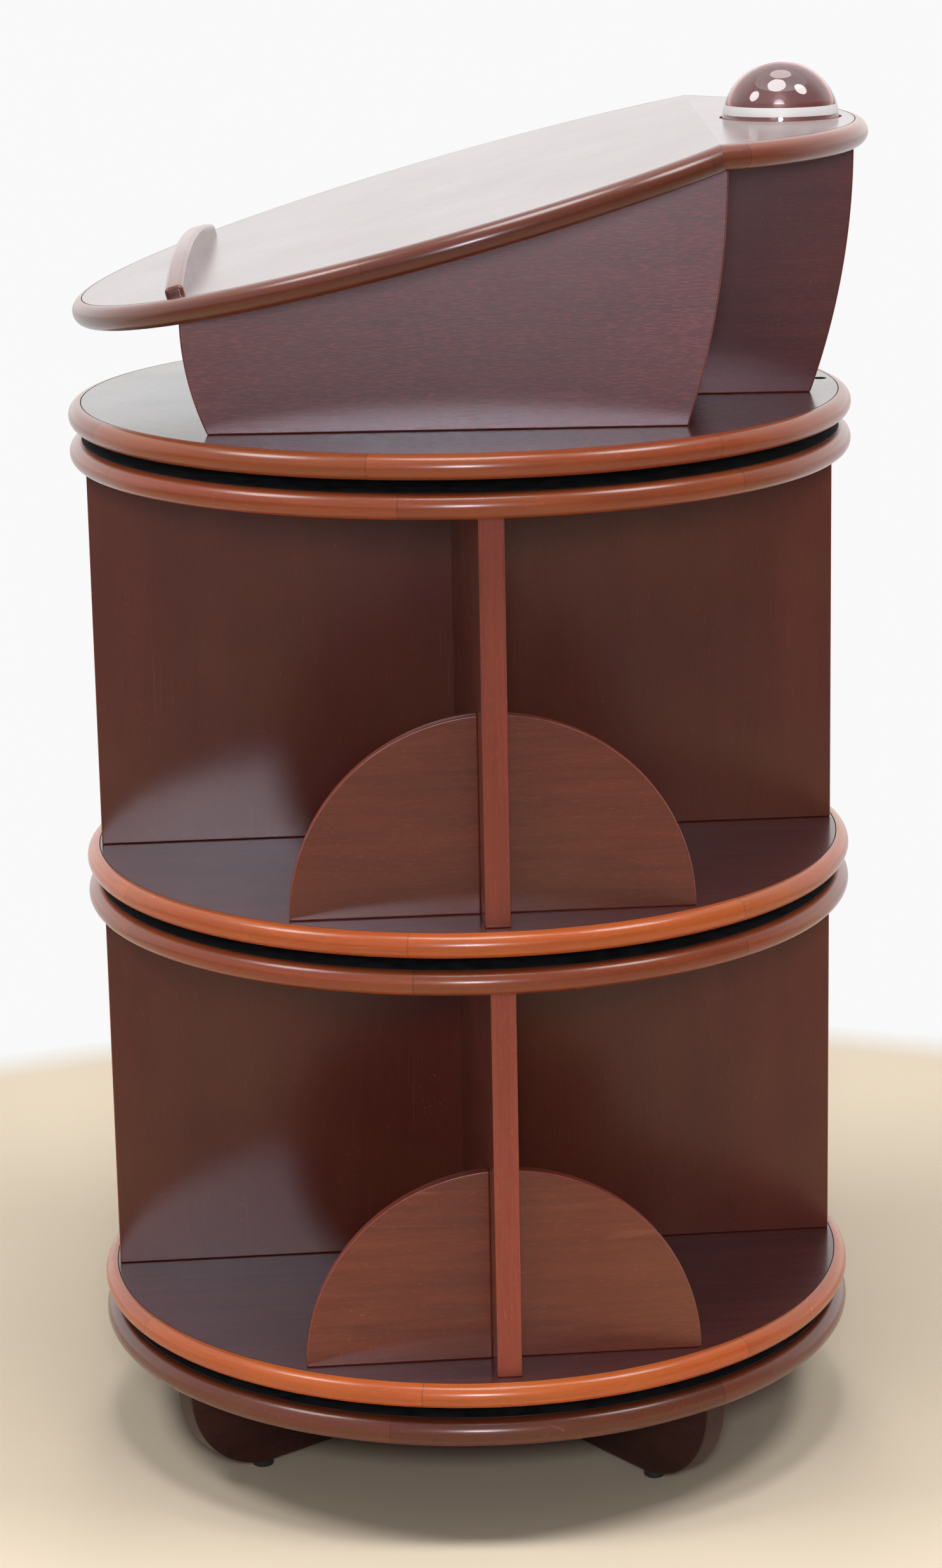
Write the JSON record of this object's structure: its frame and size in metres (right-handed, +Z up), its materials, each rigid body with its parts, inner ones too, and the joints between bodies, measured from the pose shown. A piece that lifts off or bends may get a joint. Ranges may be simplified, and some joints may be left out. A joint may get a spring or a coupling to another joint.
{
  "type": "rotating media tower",
  "caption": "Round revolving wooden book tower on crossed feet: stacked turning tiers with quarter-round bookends under a turning sloped lectern with a glass dome magnifier.",
  "frame": {"origin": "on the tower's turning axis at floor level", "axes": "+Z up along the turning axis, +X to the lectern's high end, +Y to the tower's rear"},
  "size_m": [0.622, 0.614, 1.0904],
  "materials": {
    "disc_wood": "satin lacquer on red-brown stain",
    "board_wood": "satin lacquer on red-brown stain",
    "bookend_wood": "satin lacquer on red-brown stain",
    "panel_wood": "satin lacquer on red-brown stain",
    "foot_wood": "satin lacquer on red-brown stain",
    "dowel_wood": "bare",
    "bearing_steel": "black",
    "cage_steel": "plain",
    "ball_steel": "polished",
    "screw_steel": "zinc plated",
    "glide_plastic": "matt",
    "dome_glass": "clear polished"
  },
  "bodies": {
    "base": {"base_bearing_balls": "ball_steel", "base_bearing_cage": "cage_steel", "base_bearing_lower_ring": "bearing_steel", "base_bearing_lower_screws": "screw_steel", "base_disc": "disc_wood", "foot_screws": "screw_steel", "glides": "glide_plastic", "left_foot_board": "foot_wood", "right_foot_board": "foot_wood"},
    "lower_tier": {"base_bearing_upper_ring": "bearing_steel", "base_bearing_upper_screws": "screw_steel", "lower_cross_board": "board_wood", "lower_dowels": "dowel_wood", "lower_floor_disc": "disc_wood", "lower_front_left_bookend": "bookend_wood", "lower_front_partition": "board_wood", "lower_front_right_bookend": "bookend_wood", "lower_rear_left_bookend": "bookend_wood", "lower_rear_partition": "board_wood", "lower_rear_right_bookend": "bookend_wood", "lower_screws": "screw_steel", "lower_top_disc": "disc_wood", "middle_bearing_balls": "ball_steel", "middle_bearing_cage": "cage_steel", "middle_bearing_lower_ring": "bearing_steel", "middle_bearing_lower_screws": "screw_steel"},
    "upper_tier": {"lectern_bearing_balls": "ball_steel", "lectern_bearing_cage": "cage_steel", "lectern_bearing_lower_ring": "bearing_steel", "lectern_bearing_lower_screws": "screw_steel", "middle_bearing_upper_ring": "bearing_steel", "middle_bearing_upper_screws": "screw_steel", "upper_cross_board": "board_wood", "upper_dowels": "dowel_wood", "upper_floor_disc": "disc_wood", "upper_front_left_bookend": "bookend_wood", "upper_front_partition": "board_wood", "upper_front_right_bookend": "bookend_wood", "upper_rear_left_bookend": "bookend_wood", "upper_rear_partition": "board_wood", "upper_rear_right_bookend": "bookend_wood", "upper_screws": "screw_steel", "upper_top_disc": "disc_wood"},
    "lectern": {"book_ledge": "panel_wood", "far_rear_fin": "board_wood", "far_side_board": "board_wood", "flat_panel": "panel_wood", "lectern_bearing_upper_ring": "bearing_steel", "lectern_bearing_upper_screws": "screw_steel", "lectern_disc": "disc_wood", "lectern_dowels": "dowel_wood", "lectern_screws": "screw_steel", "ledge_screws": "screw_steel", "near_rear_fin": "board_wood", "near_side_board": "board_wood", "slope_panel": "panel_wood"},
    "dome": {"dome_magnifier": "dome_glass"}
  },
  "joints": [
    {"name": "lower_tier_turn", "type": "hinge", "parent": "base", "child": "lower_tier", "pos_m": [0, 0, 0.109], "axis": [0, 0, 1], "continuous": true},
    {"name": "upper_tier_turn", "type": "hinge", "parent": "lower_tier", "child": "upper_tier", "pos_m": [0, 0, 0.463], "axis": [0, 0, 1], "continuous": true},
    {"name": "lectern_turn", "type": "hinge", "parent": "upper_tier", "child": "lectern", "pos_m": [0, 0, 0.818], "axis": [0, 0, 1], "continuous": true},
    {"name": "dome_lift", "type": "slide", "parent": "lectern", "child": "dome", "axis": [0, 0, 1], "range_m": [0, 0.06]}
  ]
}
